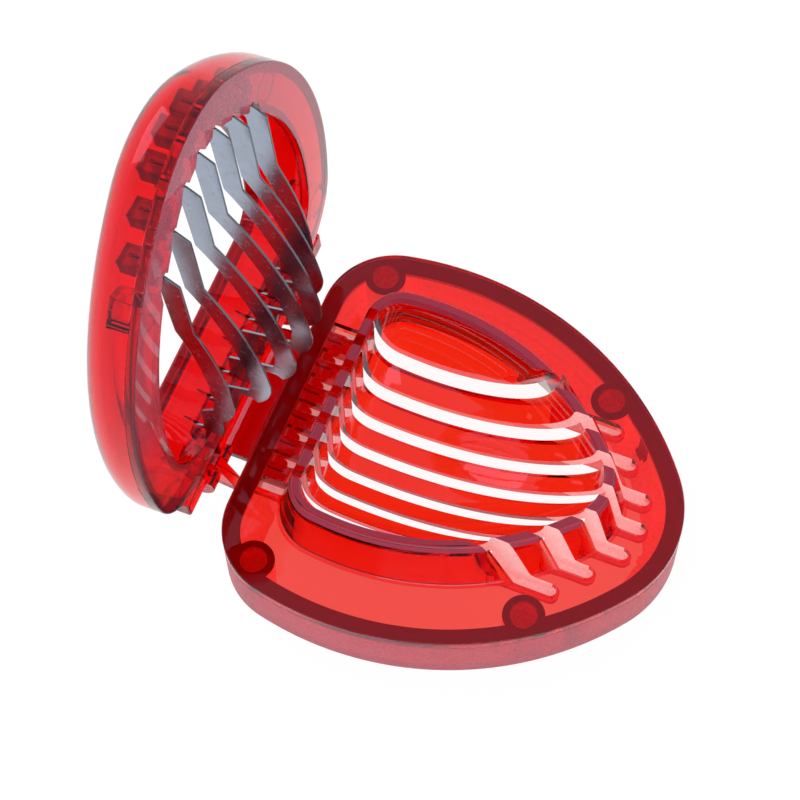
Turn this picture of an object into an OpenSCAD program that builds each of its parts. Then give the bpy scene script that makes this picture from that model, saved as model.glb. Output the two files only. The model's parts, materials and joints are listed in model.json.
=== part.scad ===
// Hinged slicer for strawberries and boiled eggs: a slotted cradle in a two-part base,
// and a domed lid that carries a row of curved steel blades. Millimetres, +Z up.
// The pieces are drawn closed, with z = 0 on the top of the base, and are then placed:
// the base as it stands, and the lid turned back about the hinge.

/* [Outline] */
// Distance from the origin of the outline to its tip
tip_y = 64.5; // [55:0.5:80]
// Radius of the tip
tip_r = 25; // [15:0.5:30]
// Half of the greatest width
half_w = 45; // [36:0.5:60]
// Radius of the two long side curves
side_r = 74; // [60:1:110]
// Radius of the two corners beside the hinge
corner_r = 16.8; // [12:0.2:20]
// Distance from the origin of the outline to the straight hinge side
back_y = 28.8; // [24:0.2:40]

/* [Base] */
// Height of the base without its cradle
base_h = 17; // [12:0.5:26]
// Thickness of the tray's plate
plate_t = 2.4; // [1.6:0.1:4]
// Thickness of the casing's wall
wall_t = 2.6; // [1.6:0.1:4]
// Thickness of the casing's floor
floor_t = 1.4; // [1:0.1:3]
// Height of the cradle's collar above the plate
collar_h = 13.4; // [8:0.2:20]
// Inset of the collar's top edge from the outline
collar_inset = 16.2; // [13:0.2:22]
// How far the collar's foot stands out beyond its top edge
collar_flare = 3; // [0:0.2:5]
// Thickness of the cradle's shell
bowl_t = 2.2; // [1.4:0.1:3.4]
// Radius of the assembly tubes
tube_r = 5.2; // [3.6:0.1:7]
// Radius of the posts inside the assembly tubes
post_r = 2.9; // [1.6:0.1:4]

/* [Blades] */
// Number of blades
blade_n = 7; // [5:1:9]
// Share of the collar's width that the row of blades spans
row_share = 0.7; // [0.6:0.01:0.72]
// Thickness of a blade
blade_t = 0.5; // [0.3:0.1:1]
// Height of the blade's strip
blade_w = 4.6; // [3:0.1:7]
// Width of the slots that the blades drop into
slot_w = 2.8; // [1.8:0.1:4]
// How far the blades pass below the cradle
bite = 1.3; // [0.4:0.1:2]

/* [Lid] */
// Height of the lid
lid_h = 13.6; // [10:0.2:22]
// Radius of the lid's rounded edge
dome_r = 8.2; // [4:0.2:11]
// Thickness of the lid's shell
shell_t = 2.4; // [1.4:0.1:4]
// Thickness of the lid's plate
lid_plate_t = 2; // [1.4:0.1:3]
// Room between the cradle's foot and the lid's window
window_room = 2.6; // [1.6:0.1:4]

/* [Hinge] */
// Distance from the straight side to the hinge axis
hinge_out = 7.4; // [6.4:0.1:10]
// Height of the hinge axis above the base's plate
hinge_z = 3.7; // [2.8:0.1:6]
// Radius of the hinge pins
pin_r = 1.6; // [1:0.1:2.4]
// Place of the base's two ears, from the middle
ear_x = 22; // [14:0.5:26]
// Angle that the lid stands open
open_angle = 93.6; // [0:0.1:110]

/* [Hidden] */
$fn = 96;
hull_fn = 40;                    // sides of the circles in the sloping walls
eps = 0.01;
gap = 0.3;                       // room between the closed lid and the base
hinge_y = -back_y - hinge_out;
tip_c = tip_y - tip_r;
// Centre of a side curve, from the middle line and along it
side_x = side_r - half_w;
side_y = tip_c - sqrt(pow(side_r - tip_r, 2) - side_x * side_x);

// The collar follows an outline of its own, blunter at the hinge
collar_w = half_w - collar_inset;
collar_tip = tip_y - collar_inset;
hinge_room = 3;
side_r_less = 12;
tip_r_less = 13;
corner_r_less = 8.8;
collar_back = back_y - collar_inset + hinge_room;
collar_side_r = side_r - side_r_less;
collar_tip_r = tip_r - tip_r_less;
collar_corner_r = corner_r - corner_r_less;
pitch = 2 * row_share * collar_w / (blade_n - 1);

tube_places = [[37, -18.4], [27, 39.6]];
tray_post_h = 7;
lid_post_h = 4;
tube_floor = 3;                  // solid part of a tube, above the casing's floor
lid_tube_h = 5.2;                // height of the assembly tubes in the lid
lid_tube_r = 4.2;                // and their radius, clear of the lid's rounded edge
floor_inset = 8;                 // width of the casing's floor, in from the outline
post_fit = 0.08;
shell_z = gap + lid_plate_t;     // where the lid's shell meets its plate
bar_out = 5.2;                   // how far the lid's hinge bar stands out
bar_top = 7.4;
heel_low = 0.3;                  // how far the lugs' heels stay inside their round
bar_root = 5;                    // how far the bar reaches in under the lid's plate
bar_half = 35.5;
ear_t = 2.8;
ear_r = 5;
lug_t = 3.4;
lug_r = 4.6;
side_play = 0.35;
run_fit = 0.05;
hold_fit = 0.02;
rim_step = 0.4;                  // from the collar's outside to the cradle's underside, at the top
trough_floor_z = -4.4;
trough_wall = 1.1;
trough_room = slot_w / 2 + trough_wall + gap;
trough_back = -24.2;             // hinge end of the troughs
trough_front = -17.4;            // where those troughs open into the cradle
cradle_back = -16.9;             // hinge end of the slots through the cradle
trough_gap = 1.2;                // room past each blade's tip
tip_inset = 8.6;                 // from the outline to the blades' tips
blade_fit = 0.12;                // room beside a blade in the pieces that hold it
strip_low = -2.6;                // underside of a blade's level stretch
strip_high = 2.1;
kink_back = 20;                  // from a blade's tip to its kink
foot_y = -5.5;                   // deepest point of a blade
blade_curve_r = 84;
foot_r = 13;
tail_y = -22.6;
anchor_len = 5;                  // a blade's end past the lid's window
anchor_top = 6.2;
window_wall = 1.8;
window_top_room = 1.2;
notch_w = 2.4;                   // notches in the lid's plate at the blades' tips
groove_depth = 1.4;
clamp_back = 4;                  // from the tip's centre to the clamp strip's ends

// Ends of the resting object along Y, so that the origin can sit in the middle
lid_back = hinge_y + (tip_y - dome_r - hinge_y) * cos(open_angle)
    - (lid_h - dome_r - hinge_z) * sin(open_angle) - dome_r;
middle_y = (tip_y + lid_back) / 2;

red_clear = [0.85, 0.06, 0.05, 0.6];
red_deep = [0.7, 0.05, 0.08, 0.7];
steel = [0.62, 0.65, 0.69];

// ---------------------------------------------------------------- outlines

// A rounded drop from three pairs of arcs that run into each other
module drop(tip, r_tip, half, r_side, back, r_corner, inset) {
    cx = r_side - half;
    ct = tip - r_tip;
    cy = ct - sqrt(pow(r_side - r_tip, 2) - cx * cx);
    ky = r_corner - back;
    kx = sqrt(pow(r_side - r_corner, 2) - pow(ky - cy, 2)) - cx;
    // where the side curves meet the tip and the corners
    meet_tip = cy + (ct - cy) * (r_side - inset) / (r_side - r_tip);
    meet_corner = cy + (ky - cy) * (r_side - inset) / (r_side - r_corner);
    meet_x = (kx + cx) * (r_side - inset) / (r_side - r_corner) - cx;
    intersection() {
        translate([-cx, cy]) circle(r_side - inset, $fn = 2.5 * $fn);
        translate([cx, cy]) circle(r_side - inset, $fn = 2.5 * $fn);
        translate([inset - half, meet_corner]) square([2 * (half - inset), meet_tip - meet_corner]);
    }
    translate([0, ct]) circle(r_tip - inset);
    for (side = [-1, 1]) translate([side * kx, ky]) circle(r_corner - inset);
    polygon([[-meet_x, meet_corner], [meet_x, meet_corner], [kx, ky],
        [kx, inset - back], [-kx, inset - back], [-kx, ky]]);
}

module outline(inset = 0) {
    drop(tip_y, tip_r, half_w, side_r, back_y, corner_r, inset);
}

module collar_outline(inset = 0) {
    drop(collar_tip, collar_tip_r, collar_w, collar_side_r, collar_back, collar_corner_r, inset);
}

// Height up the page at which the outline, moved in by inset, passes a given x
function outline_y(x, inset) =
    let (turn = side_x + abs(x), r = side_r - inset, t = tip_r - inset)
    let (on_side = side_y + sqrt(r * r - turn * turn))
    abs(x) < t ? min(on_side, tip_c + sqrt(t * t - x * x)) : on_side;

function blade_x(i) = (i - (blade_n + 1) / 2) * pitch;
function blade_tip(x) = outline_y(x, tip_inset);
function blade_low(x) =
    collar_h - bite - sqrt(pow(collar_w - bowl_t + 1.2, 2) - x * x);

module at_tubes() {
    for (side = [-1, 1], p = tube_places) translate([side * p[0], p[1], 0]) children();
}

// Stands a drawing of (y, z) upright in the plane across X, with the given thickness
module upright(thick) {
    rotate([90, 0, 90]) translate([0, 0, -thick / 2]) linear_extrude(thick) children();
}

module round_x(r, x1, x2) {
    translate([x1, hinge_y, hinge_z]) rotate([0, 90, 0]) cylinder(r = r, h = x2 - x1, $fn = 48);
}

module place_base() translate([0, -middle_y, base_h]) children();

module place_lid() {
    place_base() translate([0, hinge_y, hinge_z]) rotate([open_angle, 0, 0])
        translate([0, -hinge_y, -hinge_z]) children();
}

// ---------------------------------------------------------------- base

module base_casing() {
    color(red_deep) place_base() difference() {
        union() {
            difference() {
                translate([0, 0, -base_h]) linear_extrude(base_h - plate_t) outline();
                translate([0, 0, floor_t - base_h]) linear_extrude(base_h) outline(wall_t);
                translate([0, 0, -base_h - 1]) linear_extrude(base_h) outline(floor_inset);
            }
            intersection() {
                at_tubes() translate([0, 0, floor_t - base_h - eps])
                    cylinder(r = tube_r, h = base_h - plate_t - floor_t + eps);
                translate([0, 0, -base_h]) linear_extrude(base_h) outline(wall_t / 2);
            }
        }
        at_tubes() translate([0, 0, floor_t + tube_floor - base_h])
            cylinder(r = post_r + post_fit, h = base_h);
        // room for the first and last channel beside the tubes
        for (i = [1, blade_n])
            translate([blade_x(i) - trough_room, tube_places[1][1] - tube_r - eps, -base_h / 2])
            cube([2 * trough_room, 2 * (tube_r + eps), base_h]);
    }
}

// The cradle's round shape, lying along Y at the height of the collar's top
module bowl_round(inset) {
    translate([0, 0, collar_h]) rotate([-90, 0, 0]) rotate_extrude()
        intersection() {
            collar_outline(inset);
            translate([0, -back_y]) square([half_w, tip_y + back_y]);
        }
}

// The collar's sloping outside, from its foot under the plate to its top
module collar_block(inset) {
    foot = collar_flare * (1 + plate_t / collar_h);
    hull() {
        translate([0, 0, collar_h - eps]) linear_extrude(eps) collar_outline(inset, $fn = hull_fn);
        translate([0, 0, -plate_t]) linear_extrude(eps) collar_outline(inset - foot, $fn = hull_fn);
    }
}

module slot_cut(x) {
    tip = blade_tip(x) + trough_gap;
    upright(slot_w) polygon([[trough_back, -plate_t - 1], [trough_back, collar_h + 1],
        [tip, collar_h + 1], [tip, -plate_t - 1]]);
    upright(slot_w) polygon([[cradle_back, -base_h], [cradle_back, 0], [collar_tip + 1, 0],
        [collar_tip + 1, -base_h]]);
}

// A channel with a floor, for the part of a slot that lies outside the cradle
module trough(y1, y2) {
    difference() {
        upright(slot_w + 2 * trough_wall)
            translate([y1, trough_floor_z - trough_wall])
            square([y2 - y1 + trough_wall, trough_wall - trough_floor_z - plate_t / 2]);
        upright(slot_w) translate([y1 - 1, trough_floor_z]) square([y2 - y1 + 1, base_h]);
    }
}

module base_tray() {
    color(red_clear) place_base() {
        difference() {
            union() {
                translate([0, 0, -plate_t]) linear_extrude(plate_t) outline();
                collar_block(0);
                intersection() {
                    bowl_round(rim_step);
                    translate([-half_w, -back_y, -base_h]) cube([2 * half_w, 2 * tip_y, base_h]);
                }
            }
            difference() {
                collar_block(bowl_t);
                bowl_round(rim_step);
            }
            bowl_round(bowl_t);
            for (i = [1 : blade_n]) translate([blade_x(i), 0, 0]) slot_cut(blade_x(i));
        }
        for (i = [1 : blade_n]) translate([blade_x(i), 0, 0]) {
            foot = outline_y(blade_x(i), collar_inset - collar_flare);
            trough(foot - 0.5, blade_tip(blade_x(i)) + trough_gap);
            mirror([0, 1, 0]) trough(-trough_front, -trough_back);
        }
        at_tubes() translate([0, 0, -plate_t - tray_post_h])
            cylinder(r = post_r, h = tray_post_h + eps);
        for (side = [-1, 1]) translate([side * ear_x, 0, 0]) base_ear();
    }
}

module base_ear() {
    difference() {
        union() {
            upright(ear_t) polygon([[-back_y + 2, -plate_t], [-back_y - 2, -plate_t],
                [hinge_y + 1, hinge_z - ear_r + 0.2], [hinge_y, hinge_z + ear_r],
                [hinge_y + ear_r * 0.7, hinge_z + ear_r * 0.7], [-back_y - 0.5, 0],
                [-back_y + 2, 0]]);
            round_x(ear_r, -ear_t / 2, ear_t / 2);
        }
        round_x(pin_r + run_fit, -ear_t, ear_t);
    }
}

// ---------------------------------------------------------------- lid

// The lid's outside, or its hollow when moved in by inset
module dome(inset) {
    hull() {
        translate([0, 0, shell_z - (inset > 0 ? 1 : 0)]) linear_extrude(eps)
            outline(inset, $fn = hull_fn);
        for (turn = [0 : 15 : 90])
            translate([0, 0, lid_h - dome_r + (dome_r - inset) * sin(turn) - eps])
                linear_extrude(eps)
                outline(inset + (dome_r - inset) * (1 - cos(turn)), $fn = hull_fn);
    }
}

// The window through the lid, wider towards the base
module window(grow, past) {
    hull() {
        translate([0, 0, shell_z - past]) linear_extrude(eps)
            collar_outline(-collar_flare - window_room - grow, $fn = hull_fn);
        translate([0, 0, lid_h + past - eps]) linear_extrude(eps)
            collar_outline(-window_top_room - grow, $fn = hull_fn);
    }
}

module hinge_bar() {
    difference() {
        union() {
            translate([-bar_half, -back_y - bar_out, gap]) {
                cube([2 * bar_half, bar_out, bar_top - gap]);
                cube([2 * bar_half, bar_out + bar_root, lid_plate_t]);
            }
            for (side = [-1, 1], x = [ear_x - ear_t / 2 - side_play - lug_t,
                    ear_x + ear_t / 2 + side_play])
                translate([side * (x + lug_t / 2), 0, 0]) lid_lug();
        }
        for (side = [-1, 1]) translate([side * ear_x, 0, 0]) upright(ear_t + 2 * side_play)
            translate([hinge_y - lug_r, 0]) square([hinge_out + lug_r + gap, bar_top + lug_r]);
    }
}

module lid_lug() {
    difference() {
        union() {
            round_x(lug_r, -lug_t / 2, lug_t / 2);
            upright(lug_t) polygon([[-back_y - bar_out, bar_top], [hinge_y, hinge_z + lug_r],
                [hinge_y, hinge_z - lug_r / 2], [-back_y - bar_out, shell_z]]);
            // the heel, which stops the lid against the base's straight side
            translate([0, hinge_y, hinge_z]) rotate([-open_angle, 0, 0]) translate([-lug_t / 2, 0, 0])
                translate([0, 0, heel_low - lug_r])
                cube([lug_t, hinge_out - gap, lug_r - hinge_z + 1.4 - heel_low]);
        }
        round_x(pin_r + hold_fit, -lug_t, lug_t);
    }
}

module lid_shell() {
    color(red_clear) place_lid() difference() {
        union() {
            difference() {
                dome(0);
                dome(shell_t);
            }
            window(window_wall, 0);
            at_tubes() translate([0, 0, shell_z]) cylinder(r = lid_tube_r, h = lid_tube_h);
        }
        window(0, 1);
        at_tubes() translate([0, 0, shell_z - 1])
            cylinder(r = post_r + post_fit, h = lid_post_h + 1.4);
        for (i = [1 : blade_n]) translate([blade_x(i), 0, 0]) blade_room(blade_tip(blade_x(i)));
    }
}

// Room for a blade's two ends in the walls beside the window
module blade_room(tip) {
    upright(blade_t + 2 * blade_fit) {
        translate([tip - 8, shell_z - 1])
            square([8 + anchor_len + blade_fit, anchor_top + blade_fit + 1 - shell_z]);
        translate([tail_y - blade_fit, shell_z - 1])
            square([groove_depth + 1, anchor_top + 1 - shell_z]);
    }
}

module lid_plate() {
    color(red_deep) place_lid() {
        difference() {
            translate([0, 0, gap]) linear_extrude(lid_plate_t) difference() {
                outline();
                collar_outline(-collar_flare - window_room);
            }
            for (i = [1 : blade_n]) translate([blade_x(i), 0, 0]) {
                upright(notch_w) square([blade_tip(blade_x(i)) + 0.3, lid_h]);
                upright(blade_t + 2 * blade_fit)
                    translate([tail_y - blade_fit, 0]) square([-tail_y, lid_h]);
            }
        }
        at_tubes() translate([0, 0, shell_z - eps]) cylinder(r = post_r, h = lid_post_h);
        hinge_bar();
    }
}

// The strip that holds the blades' far ends down on the lid's plate
module lid_clamp() {
    color(red_deep) place_lid() difference() {
        translate([0, 0, shell_z]) linear_extrude(anchor_top - shell_z) intersection() {
            difference() {
                outline(shell_t + 0.4);
                collar_outline(-collar_flare - window_room - window_wall - 0.2);
            }
            translate([-blade_n * pitch / 2, tip_c - clamp_back])
                square([blade_n * pitch, tip_r + 2 * clamp_back]);
        }
        for (i = [1 : blade_n]) translate([blade_x(i), 0, 0]) upright(blade_t + 2 * blade_fit)
            square([blade_tip(blade_x(i)) + anchor_len + blade_fit, lid_h]);
        at_tubes() cylinder(r = tube_r + 0.3, h = lid_h);
    }
}

// Points from p to q along the circle of radius r that bulges downwards between them
function sag(p, q, r, steps) =
    let (half = (q - p) / 2, rise = sqrt(r * r - half * half), dir = p[0] < q[0] ? 1 : -1)
    let (c = (p + q) / 2 + dir * rise * [-half[1], half[0]] / norm(half))
    [for (k = [0 : steps]) let (y = p[0] + (q[0] - p[0]) * k / steps)
        [y, c[1] - sqrt(r * r - pow(y - c[0], 2))]];

// A blade's outline in (y, z): the end held at the tip, a level strip, a kink, then a long
// curve down to the foot, and the tail that is held beside the hinge
module blade_outline(x) {
    tip = blade_tip(x);
    low = blade_low(x);
    kink = tip - kink_back;
    high = low + blade_w;
    heel = low + 4;
    tail_top = anchor_top - 1.2;
    polygon(concat(
        [[tip + anchor_len, anchor_top], [tip + anchor_len, shell_z + blade_fit],
            [tip, shell_z + blade_fit], [tip, 0.2], [tip - 2.4, strip_low]],
        sag([kink, strip_low], [foot_y, low], blade_curve_r, 10),
        sag([foot_y - 1, low], [foot_y - 9.5, heel], foot_r, 5),
        heel < strip_low - 3
            ? [[foot_y - 8.2, heel + 1.2], [foot_y - 8.2, strip_low - 1.6], [foot_y - 9.5, strip_low - 1]]
            : [],
        [[tail_y + 1, strip_low], [tail_y, strip_low + 2], [tail_y, tail_top],
            [tail_y + groove_depth, tail_top], [tail_y + groove_depth + 0.6, strip_high],
            [foot_y - 7.5, strip_high - 0.6], [foot_y - 5, min(high, strip_low + 1) + 0.8]],
        sag([foot_y, high], [kink - 1.5, strip_high - 0.4], blade_curve_r, 10),
        [[tip - 4.4, strip_high], [tip - 3, anchor_top]]));
}

module blade(i) {
    color(steel) place_lid() translate([blade_x(i), 0, 0]) upright(blade_t)
        blade_outline(blade_x(i));
}

module hinge_pin(side) {
    long = ear_t + 2 * side_play + 2 * lug_t - 0.6;
    color(steel) place_lid() translate([side * ear_x, 0, 0]) round_x(pin_r, -long / 2, long / 2);
}

base_casing();
base_tray();
lid_plate();
lid_shell();
lid_clamp();
blade(1);  // blade_1
blade(2);  // blade_2
blade(3);  // blade_3
blade(4);  // blade_4
blade(5);  // blade_5
blade(6);  // blade_6
blade(7);  // blade_7
hinge_pin(-1);  // hinge_pin_left
hinge_pin(1);  // hinge_pin_right
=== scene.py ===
"""Hinged slicer for strawberries and boiled eggs: a slotted cradle of clear red plastic in a
frosted casing, under a domed lid that carries a row of curved steel blades."""

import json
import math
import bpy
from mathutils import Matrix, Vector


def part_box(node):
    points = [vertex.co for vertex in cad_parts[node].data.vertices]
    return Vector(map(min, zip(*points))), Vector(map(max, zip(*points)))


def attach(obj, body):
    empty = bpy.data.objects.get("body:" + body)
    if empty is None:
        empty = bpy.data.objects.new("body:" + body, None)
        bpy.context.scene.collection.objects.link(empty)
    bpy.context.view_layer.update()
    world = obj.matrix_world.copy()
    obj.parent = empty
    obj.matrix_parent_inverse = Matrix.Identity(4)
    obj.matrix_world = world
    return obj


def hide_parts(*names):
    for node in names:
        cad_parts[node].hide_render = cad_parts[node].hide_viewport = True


bl_info = {
    "name": "Hinged Slicer",
    "version": (1, 0, 0),
    "blender": (4, 5, 0),
    "location": "3D View > Sidebar > Slicer",
    "description": "Builds a hinged slicer with clear plastic shells and steel blades",
    "category": "Add Mesh",
}

import bmesh
import bpy
import numpy as np
from mathutils import Matrix, Vector

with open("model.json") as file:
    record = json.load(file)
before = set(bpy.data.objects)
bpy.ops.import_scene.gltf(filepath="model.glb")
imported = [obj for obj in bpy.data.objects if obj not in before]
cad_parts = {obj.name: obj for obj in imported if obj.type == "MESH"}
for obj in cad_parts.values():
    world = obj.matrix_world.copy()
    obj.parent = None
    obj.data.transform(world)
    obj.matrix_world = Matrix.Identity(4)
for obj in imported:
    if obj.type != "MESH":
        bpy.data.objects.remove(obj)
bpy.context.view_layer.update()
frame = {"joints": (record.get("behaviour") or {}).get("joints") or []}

MM = 0.001
BASE = "base"
LID = "lid"
HINGE = frame["joints"][0]
OPEN_ANGLE = math.radians(-HINGE["range_deg"][0])

# The shapes are drawn closed, in millimetres, with z = 0 on the top of the base. The outline
# runs from its tip at TIP_Y to its straight side at -BACK_Y, and the hinge's axis lies
# HINGE_OUT beyond that side.
BASE_HEIGHT = 17.0
HINGE_Z = 3.7
TIP_Y = 64.5
HINGE_OUT = 7.4
BACK_Y = 28.8
HINGE_Y = -BACK_Y - HINGE_OUT

# How much smaller the collar's arcs are than the outline's
COLLAR_TIP_LESS = 13
COLLAR_SIDE_LESS = 12
COLLAR_CORNER_LESS = 8.8
# How much further out the collar's straight side stands than its inset gives
COLLAR_BACK_OUT = 3
# The lid's plate stands this far above the base
LID_GAP = 0.3
# At the lid's top, its window stands this far outside the collar's top outline
WINDOW_HIGH = 1.2
# The assembly tubes on the right; those on the left mirror them
TUBE_SPOTS = ((37, -18.4), (27, 39.6))
# From the outline to a blade's tip, and from there to the end of its channel
TIP_INSET = 8.6
CHANNEL_END = 1.2
# A blade's curve runs this far outside the cradle's hollow, about a line this far below its top
CURVE_OUT = 1.2
CURVE_DOWN = 1.3


def pin_centre():
    """The middle of the left pin, in metres."""
    low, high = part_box("hinge_pin_left")
    return (low + high) / 2


# Where the drawing's origin lies in the row frame, in millimetres
DRAWING_ORIGIN = Vector((0, pin_centre().y / MM - HINGE_Y, BASE_HEIGHT))


# ------------------------------------------------------------------ settings


def length(name, description, default, low, high):
    """A length property, given here in millimetres."""
    return bpy.props.FloatProperty(
        name=name,
        description=description,
        default=default * MM,
        min=low * MM,
        max=high * MM,
        subtype="DISTANCE",
        unit="LENGTH",
    )


def colour(name, description, default):
    return bpy.props.FloatVectorProperty(
        name=name, description=description, default=default, size=3, min=0, max=1, subtype="COLOR"
    )


class SLICER_PG_base(bpy.types.PropertyGroup):
    """Sizes of the base"""

    half_width: length("Half width", "Half of the greatest width", 45, 36, 60)
    tip_radius: length("Tip radius", "Radius of the outline's tip", 25, 15, 30)
    side_radius: length("Side radius", "Radius of the two long side curves", 74, 60, 110)
    corner_radius: length("Corner radius", "Radius beside the hinge", 16.8, 8, 20)
    plate: length("Plate", "Thickness of the tray's plate", 2.4, 1.6, 4)
    wall: length("Wall", "Thickness of the casing's wall", 2.6, 1.6, 4)
    floor: length("Floor", "Thickness of the casing's floor", 1.4, 1, 3)
    floor_width: length("Floor width", "Width of the floor, in from the outline", 8, 6, 16)
    tube_radius: length("Tube radius", "Radius of the assembly tubes", 4.6, 3.6, 7)
    post_radius: length("Post radius", "Radius of the posts in the tubes", 2.9, 1.6, 4)


class SLICER_PG_cradle(bpy.types.PropertyGroup):
    """Sizes of the cradle"""

    height: length("Height", "Height of the collar above the plate", 13.4, 8, 20)
    inset: length("Inset", "From the outline to the collar's top", 16.2, 13, 22)
    flare: length("Flare", "How far the foot stands out beyond the top", 3, 0, 5)
    shell: length("Shell", "Thickness of the cradle's shell", 2.2, 1.4, 3.4)
    slot: length("Slot", "Width of the slots that the blades drop into", 2.8, 1.8, 4)
    slot_floor: length("Slot floor", "Depth of the slots outside the cradle", 3.4, 3, 6)


class SLICER_PG_blades(bpy.types.PropertyGroup):
    """Sizes of the blades"""

    count: bpy.props.IntProperty(
        name="Count", description="Number of blades", default=7, min=5, max=9)
    row_share: bpy.props.FloatProperty(
        name="Row share", description="Share of the collar's width that the row spans",
        default=0.7, min=0.6, max=0.72, subtype="FACTOR")
    thickness: length("Thickness", "Thickness of a blade", 0.5, 0.3, 1)
    height: length("Height", "Height of a blade's strip", 4.6, 3, 7)


class SLICER_PG_lid(bpy.types.PropertyGroup):
    """Sizes of the lid"""

    height: length("Height", "Height of the lid", 13.6, 10, 22)
    round_edge: length("Round edge", "Radius of the rounded edge", 8.2, 4, 11)
    shell: length("Shell", "Thickness of the lid's shell", 2.4, 1.4, 4)
    plate: length("Plate", "Thickness of the lid's plate", 2, 1.4, 3)
    window_room: length("Window room", "From the cradle's foot to the window", 2.6, 1.6, 4)


class SLICER_PG_finish(bpy.types.PropertyGroup):
    """Colours of the slicer"""

    plastic: colour("Plastic", "What the clear plastic lets through", (0.97, 0.1, 0.0))
    # The seam's dark tone is the casing's wall top seen through the tray; its strong blue is
    # painted reflection, for the lavender sheen on the tray above
    seam: colour("Seam", "Where the casing's wall shows through the tray", (0.32, 0.3, 0.7))
    # Painted shade and painted reflection: the collar's edge is drawn as a dark mauve skin, for how
    # the clear edge shows dark and takes the sheen of the overhead light
    rim: colour("Rim", "The collar's top edge, seen end on", (0.36, 0.02, 0.06))
    shell: colour("Shell", "What the cradle's thick shell lets through", (0.95, 0.12, 0.04))
    steel: colour("Steel", "Colour of the blades", (0.37, 0.43, 0.53))
    depth: bpy.props.FloatProperty(
        name="Depth",
        description="How strongly the plastic colours light, per metre",
        default=1150,
        min=100,
        max=6000,
    )


def millimetres(group):
    """The group's lengths as a dictionary of numbers in millimetres."""
    return {
        name: round(getattr(group, name) / MM, 4)
        for name, kind in group.bl_rna.properties.items()
        if kind.type == "FLOAT" and not kind.is_array and kind.unit == "LENGTH"
    }


# ------------------------------------------------------------------ outlines


class Drop:
    """A rounded drop: a tip, two side curves, two corners and a straight side at the hinge.
    Moving it in or out keeps the arcs' centres, so its points always match one for one."""

    TIP_STEPS = 36
    SIDE_STEPS = 44
    CORNER_STEPS = 20
    BACK_STEPS = 16

    def __init__(self, tip, tip_r, half, side_r, back, corner_r):
        self.tip_r, self.side_r, self.corner_r, self.back = tip_r, side_r, corner_r, back
        self.cx = side_r - half
        self.ct = tip - tip_r
        self.cy = self.ct - math.sqrt((side_r - tip_r) ** 2 - self.cx**2)
        self.ky = corner_r - back
        self.kx = math.sqrt((side_r - corner_r) ** 2 - (self.ky - self.cy) ** 2) - self.cx
        self.low_turn = math.atan2(self.ky - self.cy, self.kx + self.cx)
        self.high_turn = math.atan2(self.ct - self.cy, self.cx)

    def points(self, inset=0):
        """The outline's points, moved in by inset, anticlockwise from the right-hand corner."""

        def arc(x, y, radius, start, end, steps):
            turn = start + (end - start) * np.arange(steps) / steps
            return np.stack([x + radius * np.cos(turn), y + radius * np.sin(turn)], 1)

        half_turn, quarter = math.pi, math.pi / 2
        low, high = self.low_turn, self.high_turn
        side, corner = self.side_r - inset, self.corner_r - inset
        back = np.linspace([-self.kx, inset - self.back], [self.kx, inset - self.back],
                           self.BACK_STEPS, endpoint=False)
        return np.concatenate([
            arc(-self.cx, self.cy, side, low, high, self.SIDE_STEPS),
            arc(0, self.ct, self.tip_r - inset, high, half_turn - high, self.TIP_STEPS),
            arc(self.cx, self.cy, side, half_turn - high, half_turn - low, self.SIDE_STEPS),
            arc(-self.kx, self.ky, corner, half_turn - low, 3 * quarter, self.CORNER_STEPS),
            back,
            arc(self.kx, self.ky, corner, -quarter, low, self.CORNER_STEPS),
        ])

    def holds(self, x, y, inset):
        """Whether the outline, moved in by inset, holds a point."""
        turn = math.atan2(y - self.ky, abs(x) - self.kx)
        if -math.pi / 2 < turn < self.low_turn:
            return math.hypot(abs(x) - self.kx, y - self.ky) < self.corner_r - inset
        reach = self.side_r - inset - self.cx
        if abs(x) >= reach or math.hypot(abs(x) + self.cx, y - self.cy) > self.side_r - inset:
            return False
        return inset - self.back < y < self.top_y(x, inset)

    def ring(self, inset, z):
        flat = self.points(inset)
        return np.column_stack([flat, np.full(len(flat), z)])

    def top_y(self, x, inset):
        """The largest y at which the outline, moved in by inset, passes x."""
        side, tip = self.side_r - inset, self.tip_r - inset
        on_side = self.cy + math.sqrt(side**2 - (self.cx + abs(x)) ** 2)
        if abs(x) < tip:
            return min(on_side, self.ct + math.sqrt(tip**2 - x * x))
        return on_side


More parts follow.
